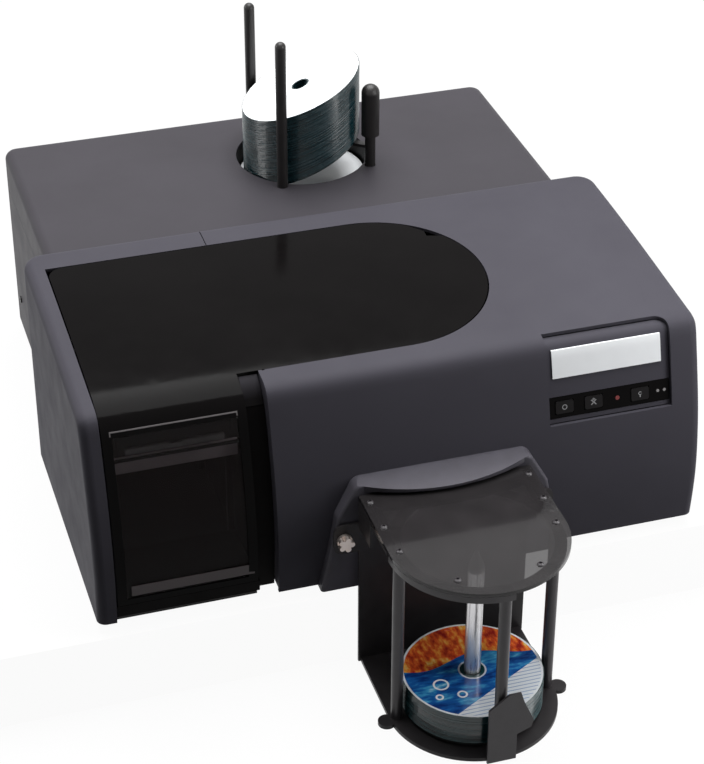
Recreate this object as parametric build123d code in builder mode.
from build123d import *
import math
import os

os.makedirs("parts", exist_ok=True)

# ---- Overall sizes (mm). X right, Y back, Z up, origin in the middle of the base pan's underside
foot_h = 10.0
body_w = 532.0
wall = 3.0
gap = 0.4
front_y = -256.0
split_y = 21.0
back_y = 257.0
side_step = 24.0
deck_z = 185.0
skirt_z = 147.0
pan_t = 3.0
half_w = body_w / 2
rear_half = half_w - side_step
base_z = 0.0

# ---- Centre line shared by hopper, carrier and bin
line_x = 29.0
hopper_y = 162.0
bin_y = -344.0
disc_r = 60.0
disc_hole_r = 7.5

# ---- Hinged cover over the print engine
cover_x0 = -half_w + 17.0
cover_mid_x = cover_x0 + 119.0
cover_rear_y = -10.5
cover_end_r = 94.5
cover_end_x = 20.5
cover_end_y = cover_rear_y - cover_end_r
cover_front_y = cover_end_y - cover_end_r
cover_t = 3.0
cover_gap = 1.2
window_top_z = 173.0
window_low_z = 18.0
hinge_y = cover_rear_y - 30.0
hinge_z = 191.9
pin_r = 2.0
running = 0.06

# ---- Left side: pillar, recessed strip and hood edge
pillar_x = cover_x0 - cover_gap
strip_x = cover_mid_x + 1.0
hood_x = strip_x + 17.0
groove_x = hood_x + 5.0
sill_z = 14.0

# Face of the recessed strip between window and hood, 13 mm behind them
strip_line = [
    (-240.0, base_z),
    (-242.0, base_z + 20.0),
    (-243.0, base_z + 50.0),
    (-240.5, base_z + 80.0),
    (-235.5, base_z + 110.0),
    (-228.0, base_z + 140.0),
    (-220.5, base_z + 164.0),
    (-214.0, base_z + 174.0),
    (-204.0, base_z + 179.5),
    (-190.0, base_z + 182.0),
    (-100.0, base_z + 186.0),
    (split_y, base_z + 188.0),
]

# Side line of the front housing: up the bulging face, round the brow, back along the top
side_line = [
    (-253.0, base_z),
    (-255.0, base_z + 20.0),
    (-256.0, base_z + 50.0),
    (-253.5, base_z + 80.0),
    (-248.5, base_z + 110.0),
    (-241.0, base_z + 140.0),
    (-232.6, base_z + 170.0),
    (-229.5, base_z + 179.0),
    (-226.0, base_z + 184.2),
    (-220.5, base_z + 187.4),
    (-210.0, base_z + 189.0),
    (-160.0, base_z + 192.4),
    (-100.0, base_z + 196.4),
    (-40.0, base_z + 199.4),
    (split_y, base_z + 201.0),
]
# The cover rolls over the brow with a larger sweep than the hood beside it
cover_line = [
    (-253.0, base_z),
    (-255.0, base_z + 20.0),
    (-256.0, base_z + 50.0),
    (-253.5, base_z + 80.0),
    (-248.5, base_z + 110.0),
    (-241.0, base_z + 140.0),
    (-234.6, base_z + 162.0),
    (-229.0, base_z + 174.0),
    (-220.0, base_z + 182.5),
    (-207.0, base_z + 187.6),
    (-190.0, base_z + 190.0),
    (-160.0, base_z + 192.4),
    (-100.0, base_z + 196.4),
    (-40.0, base_z + 199.4),
    (split_y, base_z + 201.0),
]


def shifted(line, inset):
    # Move each point of a side line inward along its local normal
    moved = []
    for i, (y, z) in enumerate(line):
        y0, z0 = line[max(i - 1, 0)]
        y1, z1 = line[min(i + 1, len(line) - 1)]
        run = math.hypot(y1 - y0, z1 - z0)
        ny = (z1 - z0) / run
        nz = -(y1 - y0) / run
        moved.append((y + ny * inset, z + nz * inset))
    moved[0] = (line[0][0] + inset, line[0][1])
    moved[-1] = (line[-1][0], line[-1][1] - inset)
    return moved


def block(x0, x1, y0, y1, z0, z1, mode=Mode.ADD):
    with Locations(((x0 + x1) / 2, (y0 + y1) / 2, (z0 + z1) / 2)):
        Box(x1 - x0, y1 - y0, z1 - z0, mode=mode)


def rod(x, y, z0, z1, r, mode=Mode.ADD):
    with Locations((x, y, (z0 + z1) / 2)):
        Cylinder(r, z1 - z0, mode=mode)


def rod_x(x0, x1, y, z, r, mode=Mode.ADD):
    with Locations(((x0 + x1) / 2, y, z)):
        Cylinder(r, x1 - x0, rotation=(0, 90, 0), mode=mode)


def rod_y(x, y0, y1, z, r, mode=Mode.ADD):
    with Locations((x, (y0 + y1) / 2, z)):
        Cylinder(r, y1 - y0, rotation=(90, 0, 0), mode=mode)


def side_slab(line, inset, x0, x1, y_back, z_low):
    # Solid under a side line, from z_low upward and forward of y_back
    pts = shifted(line, inset)
    with BuildPart() as slab:
        with BuildSketch(Plane.YZ.offset(x0)):
            with BuildLine():
                Spline(*pts)
                if z_low < base_z:
                    Polyline(pts[-1], (pts[-1][0], z_low), (pts[0][0], z_low), pts[0])
                else:
                    Polyline(pts[-1], (pts[-1][0], base_z), pts[0])
            make_face()
        extrude(amount=x1 - x0)
        if z_low > base_z:
            block(x0 - 1, x1 + 1, front_y - 10, split_y + 1, base_z - 5, z_low, Mode.SUBTRACT)
        if y_back < split_y:
            block(x0 - 1, x1 + 1, y_back, split_y + 1, base_z - 5, 400, Mode.SUBTRACT)
    return slab.part


def export(builder, name):
    builder.part.label = name
    export_step(builder.part, "parts/" + name + ".step")


# ---- Front housing, made whole and then parted into hood and left frame
with BuildPart() as front_solid:
    add(side_slab(side_line, 0, -half_w, half_w, split_y, base_z))
    rear_corners = front_solid.edges().filter_by(Axis.Z)
    fillet(rear_corners, radius=18)
    rim = front_solid.edges().filter_by(lambda e: abs(e.center().X) > half_w - 10)
    rim = rim.filter_by(lambda e: e.center().Z > base_z + 60 and not e.geom_type == GeomType.LINE)
    rear_top = front_solid.edges().filter_by(Axis.X).sort_by(Axis.Z)[-1]
    fillet(rim + ShapeList([rear_top]), radius=8)

with BuildPart() as front_hollow:
    hollow_x = half_w - wall
    add(side_slab(side_line, wall, -hollow_x, hollow_x, split_y - wall, base_z - 1))
    inner_corners = front_hollow.edges().filter_by(Axis.Z).filter_by(lambda e: e.center().Y > 0)
    fillet(inner_corners, radius=15)

with BuildPart() as front_shell:
    add(front_solid.part)
    add(front_hollow.part, mode=Mode.SUBTRACT)
    pass_x = rear_half - wall
    block(-pass_x, pass_x, split_y - wall - 1, split_y + 1, base_z - 1, deck_z - wall, Mode.SUBTRACT)


def cover_cut(extra, z0, z1):
    # Plan outline of the L-shaped cover, grown by extra all round
    with BuildPart() as cut:
        arm_x = cover_end_x - cover_x0 + extra
        arm_y = 2 * (cover_end_r + extra)
        leg_x = cover_mid_x - cover_x0 + 2 * extra
        with BuildSketch(Plane.XY.offset(z0)):
            with Locations((cover_x0 - extra, cover_rear_y + extra)):
                Rectangle(arm_x, arm_y, align=(Align.MIN, Align.MAX))
            with Locations((cover_end_x, cover_end_y)):
                Circle(cover_end_r + extra)
            with Locations((cover_x0 - extra, cover_rear_y + extra)):
                Rectangle(leg_x, 300, align=(Align.MIN, Align.MAX))
        extrude(amount=z1 - z0)
    return cut.part


with BuildPart() as left_frame:
    add(front_shell.part)
    block(groove_x - 0.4, half_w + 1, front_y - 10, split_y + 1, base_z - 1, 300, Mode.SUBTRACT)
    add(cover_cut(cover_gap, base_z + 60, 300), mode=Mode.SUBTRACT)
    block(pillar_x, groove_x, front_y - 10, cover_front_y, base_z - 1, 300, Mode.SUBTRACT)
    block(pillar_x - 2.4, pillar_x, front_y + 5.5, cover_front_y + 40, base_z + pan_t + gap, base_z + 180)
    add(front_solid.part, mode=Mode.INTERSECT)
export(left_frame, "left_frame")

# ---- Control panel window in the brow of the hood
panel_x1 = half_w - 27.0
panel_x0 = panel_x1 - 111.0
panel_low_z = base_z + 116.0
panel_back_y = -215.0
panel_inset = 3.6

with BuildPart() as panel_cut:
    block(panel_x0, panel_x1, front_y - 10, panel_back_y, panel_low_z, 300)
    top_corner = panel_cut.edges().filter_by(Axis.Z).sort_by(lambda e: e.center().X + e.center().Y)[-1]
    fillet(top_corner, radius=12)

# ---- Carrier chute through the front of the hood
chute_half = 73.0
chute_low_z = base_z + 73.0
chute_top_z = base_z + 92.0

with BuildPart() as front_hood:
    add(front_shell.part)
    hood_y = cover_front_y - cover_gap
    block(-half_w - 1, hood_x, front_y - 10, hood_y, base_z - 1, 300, Mode.SUBTRACT)
    block(-half_w - 1, groove_x + 0.4, hood_y - 1, split_y + 1, base_z - 1, 300, Mode.SUBTRACT)
    block(hood_x, hood_x + wall, front_y + 5.0, hood_y, base_z + pan_t + gap, 300)
    add(front_solid.part, mode=Mode.INTERSECT)
    add(cover_cut(cover_gap, base_z + 60, 300), mode=Mode.SUBTRACT)
    add(panel_cut.part, mode=Mode.SUBTRACT)
    mouth = (line_x - chute_half, line_x + chute_half)
    block(mouth[0], mouth[1], front_y - 10, -230, chute_low_z, chute_top_z, Mode.SUBTRACT)
export(front_hood, "front_hood")

# ---- Recessed strip, sill and bay wall between the window and the hood
with BuildPart() as strip_solid:
    add(side_slab(strip_line, 0, strip_x, hood_x - gap, split_y, base_z))
with BuildPart() as inner_frame:
    add(strip_solid.part)
    add(side_slab(strip_line, 3, strip_x + 3, hood_x, split_y, base_z - 1), mode=Mode.SUBTRACT)
    block(strip_x - 1, hood_x, cover_front_y - 0.6, split_y + 1, base_z, 300, Mode.SUBTRACT)
    block(strip_x, strip_x + 3, cover_front_y - 0.6, -70, base_z + pan_t + gap, base_z + 150)
with BuildPart() as sill:
    add(side_slab(side_line, 4.0, pillar_x + gap, strip_x + 1.5, split_y, base_z + pan_t + gap))
    block(-half_w, half_w, front_y, split_y, sill_z, 300, Mode.SUBTRACT)
    block(-half_w, half_w, -175, split_y + 1, base_z, 300, Mode.SUBTRACT)
    block(pillar_x + 6, strip_x - 3, -238, -178, base_z + pan_t - 1, sill_z - 3, Mode.SUBTRACT)
with BuildPart() as inner_frame_whole:
    add(inner_frame.part)
    add(sill.part)
export(inner_frame_whole, "inner_frame")

# ---- Rear housing: deck cover with a deep skirt over a lower shell
hopper_r = 62.5
post_r = 5.0
post_ring = hopper_r + post_r + 0.4
paddle_r = 5.0
front_post_a = math.radians(-121.0)
rear_post_a = math.radians(119.0)
paddle_x = line_x + 56.0
paddle_y = hopper_y - 40.7
posts_xy = []
for a in (front_post_a, rear_post_a):
    posts_xy.append((line_x + post_ring * math.cos(a), hopper_y + post_ring * math.sin(a)))

with BuildPart() as rear_solid:
    block(-rear_half, rear_half, split_y + gap, back_y, base_z, deck_z)
    corners = rear_solid.edges().filter_by(Axis.Z).sort_by(Axis.Y)[-2:]
    fillet(corners, radius=12)
    rims = rear_solid.edges().filter_by(lambda e: abs(e.center().Z - deck_z) < 0.01)
    rims = rims.filter_by(lambda e: e.center().Y > split_y + 2)
    fillet(rims, radius=8)

with BuildPart() as rear_core:
    block(-pass_x, pass_x, split_y - 1, back_y - wall, base_z - 1, deck_z - wall)
    corners = rear_core.edges().filter_by(Axis.Z).sort_by(Axis.Y)[-2:]
    fillet(corners, radius=9)
    rims = rear_core.edges().filter_by(lambda e: abs(e.center().Z - deck_z + wall) < 0.01)
    rims = rims.filter_by(lambda e: e.center().Y > split_y)
    fillet(rims, radius=5)

with BuildPart() as rear_cover:
    add(rear_solid.part)
    add(rear_core.part, mode=Mode.SUBTRACT)
    block(-half_w, half_w, split_y - 1, back_y + 1, base_z - 1, skirt_z + 0.5, Mode.SUBTRACT)
    rod(line_x, hopper_y, deck_z - 10, deck_z + 10, hopper_r, Mode.SUBTRACT)
    for (x, y) in posts_xy:
        rod(x, y, deck_z - 10, deck_z + 10, post_r + 0.2, Mode.SUBTRACT)
    rod(paddle_x, paddle_y, deck_z - 10, deck_z + 10, paddle_r + 0.3, Mode.SUBTRACT)
export(rear_cover, "rear_cover")

inlet_x = -rear_half + 52.0
switch_x = inlet_x + 40.0
usb_x = rear_half - 92.0
supply_x0 = -rear_half + 20.0
board_x1 = rear_half - 16.0
board_x0 = board_x1 - 106.0
rear_z = base_z + 40.0
with BuildPart() as rear_shell:
    add(rear_solid.part)
    add(rear_core.part, mode=Mode.SUBTRACT)
    block(-half_w, half_w, split_y - 1, back_y + 1, skirt_z, deck_z + 1, Mode.SUBTRACT)
    block(inlet_x - 15, inlet_x + 15, back_y - 8, back_y + 1, rear_z - 12, rear_z + 12, Mode.SUBTRACT)
    block(switch_x - 10, switch_x + 10, back_y - 8, back_y + 1, rear_z - 14, rear_z + 14, Mode.SUBTRACT)
    block(usb_x - 8, usb_x + 8, back_y - 8, back_y + 1, rear_z - 8, rear_z + 8, Mode.SUBTRACT)
    for i in range(9):
        x = -40 + 13 * i
        block(x - 3, x + 3, back_y - 8, back_y + 1, base_z + 60, base_z + 120, Mode.SUBTRACT)
export(rear_shell, "rear_shell")

# ---- Base pan and feet. The pan's middle field is pressed down a little below its border
field_step = 0.6
field_x = rear_half - 42.0
field_y = 200.0
with BuildPart() as base_pan:
    edge = wall + gap
    pan_front = half_w - edge
    pan_rear = rear_half - edge
    block(-pan_front, pan_front, front_y + 6.6, split_y - edge, base_z, base_z + pan_t)
    shoulders = base_pan.edges().filter_by(Axis.Z).sort_by(Axis.Y)[-2:]
    fillet(shoulders, radius=14.6)
    block(-pan_rear, pan_rear, split_y - 30, back_y - edge, base_z, base_z + pan_t)
    corners = base_pan.edges().filter_by(Axis.Z).sort_by(Axis.Y)[-2:]
    fillet(corners, radius=9)
    block(strip_x - 1, hood_x + 1, -260, cover_front_y + 1, base_z - 1, base_z + pan_t + 1, Mode.SUBTRACT)
    with BuildSketch(Plane.XY.offset(base_z)):
        Rectangle(2 * half_w, 2 * (back_y + 10))
        RectangleRounded(2 * field_x, 2 * field_y, 12, mode=Mode.SUBTRACT)
    extrude(amount=field_step, mode=Mode.SUBTRACT)
    for x in (supply_x0 + 32, supply_x0 + 102, board_x1 - 36):
        for y in (60, 210):
            rod(x, y, base_z + pan_t, base_z + 8, 4)
export(base_pan, "base_pan")

feet_xy = []
for s in (-1, 1):
    feet_xy.append((s * (half_w - 21), front_y + 28))
    feet_xy.append((s * (rear_half - 20), back_y - 31))
with BuildPart() as feet:
    for (x, y) in feet_xy:
        with Locations((x, y, base_z - foot_h / 2)):
            Cone(8, 9.5, foot_h)
        rod(x, y, base_z, base_z + field_step, 9.5)
export(feet, "feet")

# ---- Black hinged cover with its window frame
relief_x = cover_end_x + 63.7
with BuildPart() as access_cover:
    cover_x1 = cover_end_x + cover_end_r
    add(side_slab(cover_line, 0, cover_x0, cover_x1, cover_rear_y, window_low_z))
    inside = side_slab(cover_line, cover_t, cover_x0 - 1, cover_x1 + 1, split_y, base_z)
    add(inside, mode=Mode.SUBTRACT)
    add(cover_cut(0, base_z - 1, 300), mode=Mode.INTERSECT)
    rear_corner = access_cover.edges().filter_by(Axis.Z)
    rear_corner = rear_corner.filter_by(lambda e: e.center().X < cover_x0 + 1)
    rear_corner = rear_corner.filter_by(lambda e: e.center().Y > cover_rear_y - 1)
    fillet(rear_corner, radius=14)
    # Notch at the end of the hinge line, where the round edge would strike the hood on opening
    with BuildSketch(Plane.XY.offset(base_z + 100)):
        with BuildLine():
            Polyline(
                (relief_x + 16, hinge_y - 11.0),
                (relief_x, hinge_y - 6.7),
                (relief_x, hinge_y + 1.5),
                (relief_x - 11.2, hinge_y + 13.9),
                (relief_x + 16, hinge_y + 13.9),
                (relief_x + 16, hinge_y - 11.0),
            )
        make_face()
    extrude(amount=200, mode=Mode.SUBTRACT)
    # Window opening below the brow
    opening = (cover_x0 + 8, cover_mid_x - 8)
    low_z = window_low_z + 6
    block(opening[0], opening[1], front_y - 5, -205, low_z, window_top_z - 4, Mode.SUBTRACT)
    # Stiffening ribs and hinge knuckles under the skin
    for x in (cover_x0 + 22, cover_mid_x + 150):
        block(x - 6, x + 6, hinge_y - 6, hinge_y + 6, hinge_z - 5, hinge_z + 5.5)
    for x in (cover_x0 + 22, cover_mid_x + 150):
        rod_x(x - 7, x + 7, hinge_y, hinge_z, pin_r + running, Mode.SUBTRACT)
export(access_cover, "access_cover")

with BuildPart() as window:
    add(side_slab(cover_line, 0.8, cover_x0 + 8.1, cover_mid_x - 8.1, -200, window_low_z + 6.1))
    add(side_slab(cover_line, 2.8, cover_x0 + 7, cover_mid_x - 7, split_y, base_z), mode=Mode.SUBTRACT)
    block(-half_w, half_w, front_y - 5, split_y, window_top_z - 4.1, 300, Mode.SUBTRACT)
export(window, "smoked_window")

# ---- Hinge brackets and pins under the rear strip
knuckles = (cover_x0 + 22, cover_mid_x + 150)
# The bracket's head stands 0.25 mm under the roof it is screwed to
roof_rise = (side_line[-1][1] - side_line[-2][1]) / (side_line[-1][0] - side_line[-2][0])
roof_z = side_line[-2][1] + roof_rise * (-1 - side_line[-2][0]) - wall
bracket_top = roof_z - 0.25
with BuildPart() as hinge_brackets:
    for x in knuckles:
        block(x - 10.5, x + 10.5, -1, 6, hinge_z - 40, bracket_top)
        block(x - 10.5, x + 10.5, hinge_y - 4.1, 6, hinge_z - 40, hinge_z - 33)
        for s in (-1, 1):
            block(x + s * 8.5 - 2, x + s * 8.5 + 2, hinge_y - 4.1, hinge_y + 4.1, hinge_z - 40, hinge_z)
            rod_x(x + s * 8.5 - 2, x + s * 8.5 + 2, hinge_y, hinge_z, 4.1)
        rod_x(x - 12, x + 12, hinge_y, hinge_z, pin_r, Mode.SUBTRACT)
export(hinge_brackets, "hinge_brackets")

with BuildPart() as hinge_pins:
    for x in knuckles:
        rod_x(x - 10.5, x + 10.5, hinge_y, hinge_z, pin_r)
export(hinge_pins, "hinge_pins")

# ---- Control panel: sunken bezel, white plate, gloss strip, buttons and lamps
with BuildPart() as panel_bezel:
    back = panel_back_y - gap
    add(side_slab(side_line, panel_inset, panel_x0 + gap, panel_x1 - gap, back, panel_low_z + gap))
    inner = side_slab(side_line, panel_inset + 3, panel_x0 - 1, panel_x1 + 1, split_y, base_z)
    add(inner, mode=Mode.SUBTRACT)
    block(panel_x0 - 1, panel_x1 + 1, panel_back_y, split_y + 1, base_z, 300, Mode.SUBTRACT)

strip_tilt = 14.0
strip_c = ((panel_x0 + panel_x1) / 2, -240.2, panel_low_z + 13.5)
strip_n = (0, -math.cos(math.radians(strip_tilt)), math.sin(math.radians(strip_tilt)))
strip_plane = Plane(origin=strip_c, x_dir=(1, 0, 0), z_dir=strip_n)
strip_w = panel_x1 - panel_x0 - 2.0
strip_h = 19.0
with BuildPart() as strip_pocket:
    with BuildSketch(strip_plane.offset(-20)):
        Rectangle(strip_w + 0.4, strip_h + 0.4)
    extrude(amount=40)
with BuildPart() as panel_bezel_cut:
    add(panel_bezel.part)
    add(strip_pocket.part, mode=Mode.SUBTRACT)
export(panel_bezel_cut, "panel_bezel")

button_x = [-41.0, -14.7, 27.5]
button_w = 16.0
button_h = 11.0
lamp_x = [7.0]
drop_x = [44.0, 50.0]
with BuildPart() as button_strip:
    with BuildSketch(strip_plane.offset(-2.0)):
        Rectangle(strip_w, strip_h)
        with Locations(*[(x, 0) for x in button_x]):
            Rectangle(button_w + 0.8, button_h + 0.8, mode=Mode.SUBTRACT)
        with Locations(*[(x, 0) for x in lamp_x]):
            Circle(2.0, mode=Mode.SUBTRACT)
        with Locations(*[(x, 0) for x in drop_x]):
            Circle(1.4, mode=Mode.SUBTRACT)
    extrude(amount=2.2)
export(button_strip, "button_strip")

button_names = ["button_power", "button_feed", "button_tools"]
for name, x in zip(button_names, button_x):
    with BuildPart() as button:
        with BuildSketch(strip_plane.offset(-2.6)):
            with Locations((x, 0)):
                RectangleRounded(button_w, button_h, 1.5)
        extrude(amount=3.6)
        with BuildSketch(strip_plane.offset(-5.2)):
            with Locations((x, 0)):
                Circle(2.6)
        extrude(amount=2.7)
    export(button, name)

with BuildPart() as status_lamps:
    for x, r in [(lamp_x[0], 1.9), (drop_x[0], 1.3), (drop_x[1], 1.3)]:
        with BuildSketch(strip_plane.offset(-2.0)):
            with Locations((x, 0)):
                Circle(r)
        extrude(amount=2.5)
export(status_lamps, "status_lamps")

with BuildPart() as key_board:
    with BuildSketch(strip_plane.offset(-9.4)):
        Rectangle(strip_w - 6, strip_h - 3)
    extrude(amount=1.6)
    for x in button_x:
        with BuildSketch(strip_plane.offset(-7.8)):
            with Locations((x, 0)):
                Rectangle(6, 6)
        extrude(amount=1.4)
    for x in (-28, 16, 39):
        with BuildSketch(strip_plane.offset(-7.8)):
            with Locations((x, 0)):
                Circle(1.5)
        extrude(amount=5.8)
    for x in lamp_x + drop_x:
        with BuildSketch(strip_plane.offset(-7.8)):
            with Locations((x, 0)):
                Circle(1.2)
        extrude(amount=5.6)
export(key_board, "key_board")

badge_x0 = panel_x0 + 5.0
badge_x1 = panel_x0 + 103.0
with BuildPart() as badge_plate:
    add(side_slab(side_line, panel_inset - 1.2, badge_x0, badge_x1, split_y, panel_low_z))
    behind = side_slab(side_line, panel_inset, panel_x0, panel_x1, split_y, panel_low_z - 1)
    add(behind, mode=Mode.SUBTRACT)
    block(-half_w, half_w, front_y - 5, split_y, panel_low_z - 5, base_z + 155, Mode.SUBTRACT)
    block(-half_w, half_w, front_y - 5, split_y + 1, base_z + 178.5, 300, Mode.SUBTRACT)
export(badge_plate, "badge_plate")

# ---- Chute bezel: legs and a curved brow over the mouth
bezel_y = -264.0
brow_z0 = base_z + 96.5
brow_z1 = base_z + 104.0
brow_reach = -280.0
brow_half = 76.0
brow_flat = 70.0
with BuildPart() as chute_bezel:
    with BuildSketch(Plane.XZ.offset(-bezel_y)):
        with BuildLine():
            Polyline(
                (line_x - 107, base_z),
                (line_x - 93, base_z + 74),
                (line_x - brow_half, brow_z1),
                (line_x + brow_half, brow_z1),
                (line_x + 93, base_z + 74),
                (line_x + 107, base_z),
                (line_x - 107, base_z),
            )
        make_face()
    extrude(amount=-22)
    shoulders = chute_bezel.edges().filter_by(Axis.Y)
    fillet(shoulders.filter_by(lambda e: e.center().Z > base_z + 10), radius=10)
    face_rim = chute_bezel.faces().sort_by(Axis.Y)[0].edges()
    fillet(face_rim.filter_by(lambda e: e.center().Z > base_z + 10), radius=3)
    with BuildSketch(Plane.XY.offset(brow_z0)):
        with BuildLine():
            ThreePointArc((line_x - brow_flat, bezel_y), (line_x, brow_reach), (line_x + brow_flat, bezel_y))
            Polyline(
                (line_x + brow_flat, bezel_y),
                (line_x + brow_flat, bezel_y + 4),
                (line_x - brow_flat, bezel_y + 4),
                (line_x - brow_flat, bezel_y),
            )
        make_face()
    extrude(amount=brow_z1 - brow_z0)
    # The brow slopes down toward its lip
    with BuildSketch(Plane.YZ.offset(line_x - 90)):
        with BuildLine():
            Polyline(
                (-252, brow_z1),
                (brow_reach - 2, brow_z1 - 4.5),
                (brow_reach - 2, brow_z1 + 9),
                (-252, brow_z1 + 9),
                (-252, brow_z1),
            )
        make_face()
    extrude(amount=180, mode=Mode.SUBTRACT)
    block(mouth[0], mouth[1], bezel_y - 1, -235, chute_low_z, chute_top_z, Mode.SUBTRACT)
    add(side_slab(side_line, 0, -half_w, half_w, split_y, base_z - 1), mode=Mode.SUBTRACT)
    lip = chute_bezel.edges().filter_by(GeomType.CIRCLE)
    lip = lip.filter_by(lambda e: e.center().Y < bezel_y - 1 and e.center().Z < brow_z0 + 0.1)
    fillet(lip, radius=1.5)
export(chute_bezel, "chute_bezel")

# ---- Output bin: folded bracket, posts, spindle, frame and clear top plate
sheet = 2.5
base_margin = 13.0
base_r = disc_r + base_margin
bin_half = base_r + 2.0
bin_low_z = base_z - 81.0
bin_base_t = 3.5
ear_z = base_z + 53.0
ear_half = 97.0
screw_dx = 88.0
back_plate_y = bezel_y - sheet
post_dx = base_r - 6.5
side_dx = bin_half - 6.5
ring_t = 3.0
ring_gap = 0.3
frame_z = base_z + 88.0
frame_t = 3.0
plate_t = 3.5

with BuildPart() as bin_bracket:
    with BuildSketch(Plane.XZ.offset(-bezel_y)):
        with Locations((line_x, (bin_low_z + chute_low_z + 1) / 2)):
            Rectangle(2 * bin_half, chute_low_z + 1 - bin_low_z)
        with Locations((line_x, ear_z)):
            RectangleRounded(2 * ear_half, 29, 8)
        with Locations((line_x - screw_dx, ear_z), (line_x + screw_dx, ear_z)):
            Circle(2.6, mode=Mode.SUBTRACT)
    extrude(amount=sheet)
    with BuildSketch(Plane.XY.offset(bin_low_z)):
        with Locations((line_x, bin_y)):
            Circle(base_r)
        with Locations((line_x, back_plate_y + 1)):
            Rectangle(2 * base_r, back_plate_y + 1 - bin_y, align=(Align.CENTER, Align.MAX))
        with Locations((line_x - base_r - 3, bin_y - 5), (line_x + base_r + 3, bin_y - 5)):
            Circle(7.5)
    extrude(amount=bin_base_t)
    for s in (-1, 1):
        cheek = line_x + s * (bin_half - 1.25)
        block(cheek - 1.25, cheek + 1.25, -296, bezel_y, chute_low_z - 10, frame_z)
        ledge = line_x + s * (bin_half - 4.5)
        block(ledge - 4.5, ledge + 4.5, -296, -272, frame_z - 2, frame_z)
export(bin_bracket, "bin_bracket")

with BuildPart() as bin_posts:
    for s in (-1, 1):
        rod(line_x + s * post_dx, bin_y - 2, bin_low_z + bin_base_t, frame_z, post_r)
export(bin_posts, "bin_posts")

frame_r = bin_half - ring_t - ring_gap
with BuildPart() as bin_frame:
    with BuildSketch(Plane.XY.offset(frame_z)):
        with Locations((line_x, bin_y)):
            Circle(frame_r)
            Circle(disc_r + 1.8, mode=Mode.SUBTRACT)
        with BuildLine():
            ThreePointArc((line_x - bin_half, -283), (line_x, -293), (line_x + bin_half, -283))
            Polyline(
                (line_x + bin_half, -283),
                (line_x + bin_half, -265),
                (line_x - bin_half, -265),
                (line_x - bin_half, -283),
            )
        make_face()
        for s in (-1, 1):
            with Locations((line_x + s * side_dx, -310)):
                Rectangle(13, 60)
    extrude(amount=frame_t)
export(bin_frame, "bin_frame")

plate_z = frame_z + frame_t
plate_screws = [
    (-side_dx - 0.5, -277), (side_dx + 0.5, -277), (-side_dx, -312), (side_dx, -312),
    (-post_dx, bin_y - 2), (post_dx, bin_y - 2), (-34.5, bin_y - 50), (34.5, bin_y - 50),
]
with BuildPart() as bin_plate:
    with BuildSketch(Plane.XY.offset(plate_z)):
        with Locations((line_x, bin_y)):
            Circle(bin_half)
        with Locations((line_x, -265)):
            Rectangle(2 * bin_half, -265 - bin_y, align=(Align.CENTER, Align.MAX))
        with Locations(*[(line_x + x, y) for (x, y) in plate_screws]):
            Circle(1.6, mode=Mode.SUBTRACT)
    extrude(amount=plate_t)
export(bin_plate, "bin_plate")

with BuildPart() as plate_fixings:
    for (x, y) in plate_screws:
        with Locations((line_x + x, y, plate_z + plate_t + 1.1)):
            Cone(3.0, 1.6, 2.2)
        rod(line_x + x, y, plate_z, plate_z + plate_t, 1.5)
export(plate_fixings, "plate_fixings")

tube_r = 6.9
tip_z = base_z + 80.0
tube_top = base_z + 60.0
pad_t = 3.8
with BuildPart() as spindle_tube:
    rod(line_x, bin_y, bin_low_z + bin_base_t, tube_top, tube_r)
    rod(line_x, bin_y, tube_top - 12, tube_top + 1, 4.5, Mode.SUBTRACT)
    rod(line_x, bin_y, bin_low_z + bin_base_t, bin_low_z + bin_base_t + 3, 10.5)
export(spindle_tube, "spindle_tube")

with BuildPart() as spindle_tip:
    rod(line_x, bin_y, tube_top - 12, tube_top, 4.5)
    rod(line_x, bin_y, tube_top, tube_top + 5, tube_r)
    with Locations((line_x, bin_y, (tube_top + 5 + tip_z) / 2)):
        Cone(tube_r, 1.0, tip_z - tube_top - 5)
export(spindle_tip, "spindle_tip")

with BuildPart() as bin_pad:
    rod(line_x, bin_y, bin_low_z + bin_base_t, bin_low_z + bin_base_t + pad_t, base_r - 16)
    rod(line_x, bin_y, bin_low_z, bin_low_z + 20, 11.2, Mode.SUBTRACT)
export(bin_pad, "bin_pad")

printed_z0 = bin_low_z + bin_base_t + pad_t + 0.3
printed_h = 28.2
with BuildPart() as printed_stack:
    rod(line_x, bin_y, printed_z0, printed_z0 + printed_h, disc_r)
    rod(line_x, bin_y, printed_z0 - 1, printed_z0 + printed_h + 1, disc_hole_r, Mode.SUBTRACT)
export(printed_stack, "printed_discs")

# Gate that swings round the rim: post, ring sector and front plate
gate_y = bin_y - post_dx
ring_z0 = frame_z - 3.0
ring_in = frame_r + ring_gap
ring_out = bin_half
ring_deg = 94.0
with BuildPart() as gate_post:
    rod(line_x, gate_y, bin_low_z + bin_base_t + gap, ring_z0 + 1, post_r)
    with BuildSketch(Plane.XZ.offset(-bin_y).shift_origin((line_x, bin_y, 0))):
        with Locations((-(ring_in + ring_out) / 2, ring_z0 + 2.85)):
            Rectangle(ring_out - ring_in, 5.7)
    revolve(axis=Axis((line_x, bin_y, 0), (0, 0, 1)), revolution_arc=ring_deg)
    block(line_x - 5, line_x + 5, bin_y - ring_in - 0.5, gate_y + 5, ring_z0, frame_z - 0.4)
export(gate_post, "gate_post")

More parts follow.
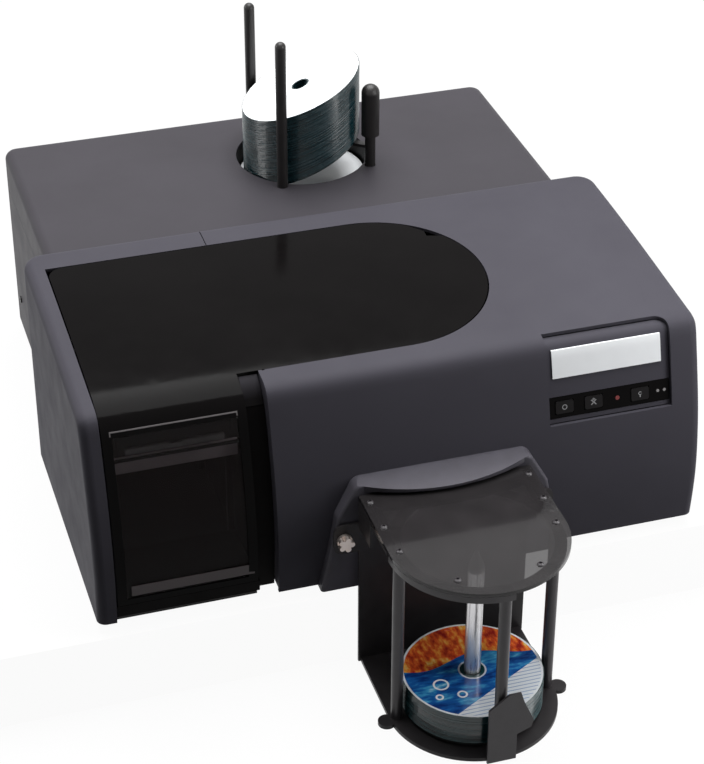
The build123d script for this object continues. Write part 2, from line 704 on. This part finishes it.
with BuildPart() as gate_plate:
    with BuildSketch(Plane.XZ.offset(-(bin_y - base_r - 0.6))):
        with BuildLine():
            Polyline(
                (line_x - 13, bin_low_z),
                (line_x + 12, bin_low_z),
                (line_x + 12, bin_low_z + 26),
                (line_x + 24, bin_low_z + 31),
                (line_x + 26, bin_low_z + 38),
                (line_x + 17, bin_low_z + 59),
                (line_x + 14, bin_low_z + 69),
                (line_x + 4, bin_low_z + 69),
                (line_x - 13, bin_low_z + 56),
                (line_x - 13, bin_low_z),
            )
        make_face()
    extrude(amount=2)
    arm_y = bin_y - base_r - 0.6
    block(line_x - 4, line_x + 4, arm_y, gate_y - post_r + 0.6, bin_low_z + 30, bin_low_z + 42)
    add(gate_post.part, mode=Mode.SUBTRACT)
export(gate_plate, "gate_plate")

# Star thumbscrews through the bracket ears
screw_names = ["thumbscrew_left", "thumbscrew_right"]
for name, s in zip(screw_names, (-1, 1)):
    with BuildPart() as thumbscrew:
        x = line_x + s * screw_dx
        rod_y(x, back_plate_y - 3.4, back_plate_y - 0.4, ear_z, 6.5)
        with BuildSketch(Plane.XZ.offset(-(back_plate_y - 3.4))):
            with Locations((x, ear_z)):
                Circle(4.6)
                with PolarLocations(4.6, 5):
                    Circle(2.4)
        extrude(amount=5)
        rod_y(x, back_plate_y - 1, bezel_y + 5, ear_z, 2.2)
    export(thumbscrew, name)
with BuildPart() as screw_bores:
    for s in (-1, 1):
        rod_y(line_x + s * screw_dx, bezel_y - 5, bezel_y + 6, ear_z, 2.6)
with BuildPart() as chute_bezel_bored:
    add(chute_bezel.part)
    add(screw_bores.part, mode=Mode.SUBTRACT)
export(chute_bezel_bored, "chute_bezel")

# ---- Input hopper: well, posts, paddle with its lifting finger, blank discs
well_low = base_z + 92.0
disc_low_z = base_z + 166.0
disc_t = 1.2
with BuildPart() as hopper_well:
    rod(line_x, hopper_y, well_low, deck_z - wall, hopper_r + 2.5)
    with BuildSketch(Plane.XY.offset(deck_z - wall - 3)):
        with Locations((line_x, hopper_y)):
            Circle(76)
    extrude(amount=3)
    rod(line_x, hopper_y, well_low - 1, deck_z, hopper_r, Mode.SUBTRACT)
    for (x, y) in posts_xy:
        rod(x, y, deck_z - wall - 6, deck_z, post_r, Mode.SUBTRACT)
    rod(paddle_x, paddle_y, deck_z - wall - 3.2, deck_z, paddle_r + 0.3, Mode.SUBTRACT)
    for a in (30, 150, 270):
        with Locations(Location((line_x, hopper_y, 0), (0, 0, a))):
            with Locations((60.5, 0, disc_low_z - disc_t - 2)):
                Box(5, 8, 3.6)
export(hopper_well, "hopper_well")

post_tops = [base_z + 331.0, base_z + 319.0]
with BuildPart() as hopper_posts:
    for (x, y), post_top in zip(posts_xy, post_tops):
        rod(x, y, deck_z - wall - 6, post_top - post_r, post_r)
        with Locations((x, y, post_top - post_r)):
            Sphere(post_r)
export(hopper_posts, "hopper_posts")

finger_z = deck_z + 18.5
paddle_a = math.degrees(math.atan2(hopper_y - paddle_y, line_x - paddle_x))
with BuildPart() as paddle:
    rod(paddle_x, paddle_y, deck_z - 5.6, base_z + 219, paddle_r)
    rod(paddle_x, paddle_y, base_z + 217, base_z + 260, 8.5)
    with Locations((paddle_x, paddle_y, base_z + 260)):
        Sphere(8.5)
    with Locations(Location((paddle_x, paddle_y, 0), (0, 0, paddle_a))):
        with Locations((8, 0, finger_z + 1.5)):
            Box(16, 7, 3)
export(paddle, "lift_paddle")

with BuildPart() as lower_disc:
    rod(line_x, hopper_y, disc_low_z - disc_t, disc_low_z, disc_r)
    rod(line_x, hopper_y, disc_low_z - 5, disc_low_z + 5, disc_hole_r, Mode.SUBTRACT)
export(lower_disc, "lower_disc")

# The pile leans: up toward the right, and a little up toward the front
stack_tilt = 22.0
stack_pitch = 5.0
stack_h = 68.5
rise_x = math.tan(math.radians(stack_tilt))
rise_y = -math.tan(math.radians(stack_pitch))
rise = math.hypot(rise_x, rise_y)
stack_z = disc_low_z + disc_r * rise / math.hypot(1, rise) + 0.8
stack_o = (line_x, hopper_y, stack_z)
stack_plane = Plane(origin=stack_o, x_dir=(1, 0, rise_x), z_dir=(-rise_x, -rise_y, 1))
with BuildPart() as blank_stack:
    with BuildSketch(stack_plane):
        Circle(disc_r)
        Circle(disc_hole_r, mode=Mode.SUBTRACT)
    extrude(amount=stack_h, dir=(0, 0, 1))
export(blank_stack, "blank_discs")

# ---- Disc carrier on a two-stage slide
rail_z = base_z + 70.0
slide_z0 = rail_z + 4.9
slide_t = 5.4
tray_z0 = slide_z0 + slide_t + 0.5
tray_t = 3.0
slide_in = 55.6
slide_out = 68.0
with BuildPart() as tray_rails:
    for s in (-1, 1):
        x0, x1 = sorted((line_x + s * 60, line_x + s * 72.5))
        block(x0, x1, -247, 246, rail_z, slide_z0 - 0.4)
        x0, x1 = sorted((line_x + s * (slide_out + 0.4), line_x + s * 72.5))
        block(x0, x1, -247, 246, rail_z, tray_z0 + tray_t)
        for y in (-200, 0, 200):
            block(line_x + s * 66 - 5, line_x + s * 66 + 5, y - 8, y + 8, base_z + pan_t, rail_z)
export(tray_rails, "tray_rails")

slide_y0 = hopper_y - 69.0
slide_y1 = hopper_y + 81.0
with BuildPart() as tray_slide:
    for s in (-1, 1):
        x0, x1 = sorted((line_x + s * slide_in, line_x + s * slide_out))
        block(x0, x1, slide_y0, slide_y1, slide_z0, slide_z0 + slide_t)
    block(line_x - slide_out, line_x + slide_out, slide_y1 - 12, slide_y1, slide_z0, slide_z0 + slide_t)
export(tray_slide, "tray_slide")

with BuildPart() as carrier_tray:
    with BuildSketch(Plane.XY.offset(tray_z0)):
        with Locations((line_x, hopper_y)):
            Circle(58)
        with Locations((line_x, hopper_y)):
            Rectangle(110, 62, align=(Align.CENTER, Align.MIN))
        with Locations((line_x, hopper_y + 42)):
            Rectangle(124, 20, align=(Align.CENTER, Align.MIN))
        with Locations((line_x, hopper_y)):
            Circle(17, mode=Mode.SUBTRACT)
        with Locations((line_x, hopper_y - 60)):
            Rectangle(20, 60, align=(Align.CENTER, Align.MIN), mode=Mode.SUBTRACT)
    extrude(amount=tray_t)
    rod(line_x, hopper_y, tray_z0 + tray_t - 1.3, tray_z0 + tray_t + 1, disc_r + 0.4, Mode.SUBTRACT)
    for s in (-1, 1):
        rib = line_x + s * 52.5
        block(rib - 2.5, rib + 2.5, hopper_y - 18, hopper_y + 62, slide_z0 + 0.6, tray_z0 + 0.6)
export(carrier_tray, "carrier_tray")

# ---- Print engine: bed, guide rod, carriage, cartridges, belt and motor
rod_y0 = -75.0
rod_z = base_z + 140.0
rod_r = 4.0
eng_x0 = strip_x + 5.0
eng_x1 = half_w - 22.0
bed_z = base_z + 92.5
with BuildPart() as engine_bed:
    block(eng_x0, eng_x1, -199, 12, bed_z, bed_z + 3)
    block(line_x - 64, line_x + 64, -160, -72, bed_z - 1, bed_z + 4, Mode.SUBTRACT)
    for x in (eng_x0, eng_x1 - 6):
        block(x, x + 6, rod_y0 - 14, rod_y0 + 44, bed_z + 3, rod_z + 12)
    for x in (eng_x0 - 1, eng_x1 - 7):
        rod_x(x, x + 8, rod_y0, rod_z, rod_r, Mode.SUBTRACT)
    for x in (eng_x0 + 2, eng_x1 - 14):
        for y in (-192, 2):
            block(x, x + 12, y - 6, y + 6, base_z + pan_t, bed_z)
export(engine_bed, "engine_bed")

with BuildPart() as guide_rod:
    rod_x(eng_x0, eng_x1, rod_y0, rod_z, rod_r)
export(guide_rod, "guide_rod")

car_x0 = eng_x1 - 94.0
car_x1 = car_x0 + 68.0
car_y0 = -150.0
car_y1 = rod_y0 + 12
car_z0 = bed_z + 6
with BuildPart() as carriage:
    block(car_x0, car_x1, car_y0, car_y1, car_z0, rod_z + 12)
    block(car_x0 + 3, car_x1 - 3, car_y0 + 3, rod_y0 - 12, car_z0 + 6, rod_z + 20, Mode.SUBTRACT)
    block(car_x0 + 20, car_x0 + 40, car_y1, car_y1 + 6, rod_z - 12, rod_z - 2)
    rod_x(car_x0 - 1, car_x1 + 1, rod_y0, rod_z, rod_r + running, Mode.SUBTRACT)
export(carriage, "carriage")

cart_names = ["cartridge_black", "cartridge_colour"]
for name, i in zip(cart_names, (0, 1)):
    x0 = car_x0 + 3.4 + i * 30.9
    with BuildPart() as cartridge:
        block(x0, x0 + 30.3, car_y0 + 3.4, rod_y0 - 12.4, car_z0 + 6.4, rod_z + 22)
        block(x0 + 4, x0 + 26, car_y0 + 14, car_y0 + 40, rod_z + 22, rod_z + 26)
        top_edges = cartridge.edges().filter_by(Axis.X).sort_by(Axis.Z)[-2:]
        fillet(top_edges, radius=1.5)
    export(cartridge, name)

pulley_y = rod_y0 + 30.0
pulley_r = 8.0
pulley_x = [eng_x0 + 20.0, eng_x1 - 24.0]
belt_z = rod_z - 10.0
with BuildPart() as drive_belt:
    with BuildSketch(Plane.XY.offset(belt_z)):
        with Locations(((pulley_x[0] + pulley_x[1]) / 2, pulley_y)):
            SlotCenterToCenter(pulley_x[1] - pulley_x[0], 2 * (pulley_r + 1.8))
            SlotCenterToCenter(pulley_x[1] - pulley_x[0], 2 * (pulley_r + 0.4), mode=Mode.SUBTRACT)
    extrude(amount=6)
export(drive_belt, "drive_belt")

pulley_names = ["pulley_left", "pulley_right"]
for name, x in zip(pulley_names, pulley_x):
    with BuildPart() as pulley:
        rod(x, pulley_y, belt_z - 1.5, belt_z + 7.5, pulley_r)
        rod(x, pulley_y, belt_z - 3, belt_z + 9, 2.0 + running, Mode.SUBTRACT)
        for a in range(6):
            px = x + 5 * math.cos(math.radians(60 * a))
            py = pulley_y + 5 * math.sin(math.radians(60 * a))
            rod(px, py, belt_z - 3, belt_z + 9, 1.2, Mode.SUBTRACT)
    export(pulley, name)

with BuildPart() as belt_motor:
    rod(pulley_x[1], pulley_y, bed_z + 3, belt_z - 3, 16)
    rod(pulley_x[1], pulley_y, belt_z - 3, belt_z + 9, 2.0)
    rod(pulley_x[0], pulley_y, bed_z + 3, belt_z - 3, 6)
    rod(pulley_x[0], pulley_y, belt_z - 3, belt_z + 9, 2.0)
export(belt_motor, "belt_motor")

# ---- Recorder drive behind the window
drive_x0 = pillar_x + 6.0
drive_x1 = strip_x - 4.0
drive_y0 = -219.0
drive_y1 = -60.0
drive_z0 = base_z + 141.0
with BuildPart() as drive_shelf:
    block(drive_x0 - 2, strip_x - 0.4, drive_y0 - 3, drive_y1, drive_z0 - 4, drive_z0 - 1)
    for x in (drive_x0 - 2, strip_x - 5.4):
        block(x, x + 5, drive_y1 - 5, drive_y1, base_z + pan_t, drive_z0 - 4)
        block(x, x + 5, -172, -167, base_z + pan_t, drive_z0 - 4)
export(drive_shelf, "drive_shelf")

with BuildPart() as disc_drive:
    block(drive_x0, drive_x1, drive_y0 + 3, drive_y1, drive_z0 - 1, drive_z0 + 30)
export(disc_drive, "disc_drive")

with BuildPart() as drive_bezel:
    block(drive_x0, drive_x1, drive_y0, drive_y0 + 2.8, drive_z0 - 1, drive_z0 + 30)
    door_x0 = drive_x0 + 8
    door_x1 = drive_x1 - 8
    door_y1 = drive_y0 + 1.2
    block(door_x0, door_x1, drive_y0 - 1, door_y1, drive_z0 + 8, drive_z0 + 20, Mode.SUBTRACT)
    block(door_x0 + 0.6, door_x1 - 0.6, drive_y0 - 1.6, door_y1, drive_z0 + 8.6, drive_z0 + 19.4)
export(drive_bezel, "drive_bezel")

# ---- Electronics and rear sockets
with BuildPart() as power_supply:
    block(supply_x0, supply_x0 + 132, 48, 222, base_z + 8, base_z + 66)
    for i in range(8):
        block(supply_x0 + 12 + 14 * i, supply_x0 + 18 + 14 * i, 60, 200, base_z + 64.5, base_z + 67, Mode.SUBTRACT)
export(power_supply, "power_supply")

with BuildPart() as control_board:
    block(board_x0, board_x1, 48, 222, base_z + 8, base_z + 9.6)
    chips = [(30, 90, 24, 24, 3), (75, 80, 16, 30, 4), (40, 150, 40, 12, 9), (80, 190, 12, 40, 8)]
    for (dx, y, w, d, h) in chips:
        x = board_x0 + dx
        block(x - w / 2, x + w / 2, y - d / 2, y + d / 2, base_z + 9.6, base_z + 9.6 + h)
export(control_board, "control_board")

with BuildPart() as power_inlet:
    block(inlet_x - 14.6, inlet_x + 14.6, back_y - 24, back_y + 0.4, rear_z - 11.6, rear_z + 11.6)
    block(inlet_x - 11.5, inlet_x + 11.5, back_y - 15, back_y + 1, rear_z - 8.2, rear_z + 8.2, Mode.SUBTRACT)
    for dx in (-7, 0, 7):
        block(inlet_x + dx - 1, inlet_x + dx + 1, back_y - 15.5, back_y - 3, rear_z - 2, rear_z + 2)
export(power_inlet, "power_inlet")

with BuildPart() as usb_socket:
    block(usb_x - 7.6, usb_x + 7.6, back_y - 18, back_y + 0.4, rear_z - 7.6, rear_z + 7.6)
    block(usb_x - 4.6, usb_x + 4.6, back_y - 10, back_y + 1, rear_z - 4.2, rear_z + 4.2, Mode.SUBTRACT)
    block(usb_x - 2.8, usb_x + 2.8, back_y - 10.5, back_y - 1, rear_z - 1.6, rear_z + 1.6)
export(usb_socket, "usb_socket")

with BuildPart() as switch_frame:
    block(switch_x - 9.6, switch_x + 9.6, back_y - 18, back_y + 0.8, rear_z - 13.6, rear_z + 13.6)
    well_y = back_y - 12.5
    block(switch_x - 7.5, switch_x + 7.5, well_y, back_y + 2, rear_z - 11.5, rear_z + 11.5, Mode.SUBTRACT)
    rod_x(switch_x - 9, switch_x + 9, back_y - 4.5, rear_z, 1.5)
export(switch_frame, "switch_frame")

rocker_a = 8.0
with BuildPart() as power_switch:
    with BuildSketch(Plane.YZ.offset(switch_x - 7.1)):
        with BuildLine():
            Polyline(
                (back_y - 7.5, rear_z - 9.6),
                (back_y + 2.6, rear_z - 10.2),
                (back_y + 0.4, rear_z),
                (back_y - 0.6, rear_z + 10.2),
                (back_y - 7.5, rear_z + 9.6),
                (back_y - 7.5, rear_z - 9.6),
            )
        make_face()
    extrude(amount=14.2)
    rod_x(switch_x - 8, switch_x + 8, back_y - 4.5, rear_z, 1.5 + running, Mode.SUBTRACT)
export(power_switch, "power_switch")

# ---- Screws seen low on the side walls and round the back
side_screws = []
for y in (90, 223):
    for s in (-1, 1):
        side_screws.append((s, y, base_z + 34))
back_screw_x = rear_half - 27.0
back_screws = [(-back_screw_x, base_z + 140), (back_screw_x, base_z + 140), (0, base_z + 22)]
with BuildPart() as housing_screws:
    for (s, y, z) in side_screws:
        x0, x1 = sorted((s * rear_half, s * (rear_half + 1.4)))
        rod_x(x0, x1, y, z, 3.4)
    for (x, z) in back_screws:
        rod_y(x, back_y, back_y + 1.4, z, 3.4)
export(housing_screws, "housing_screws")
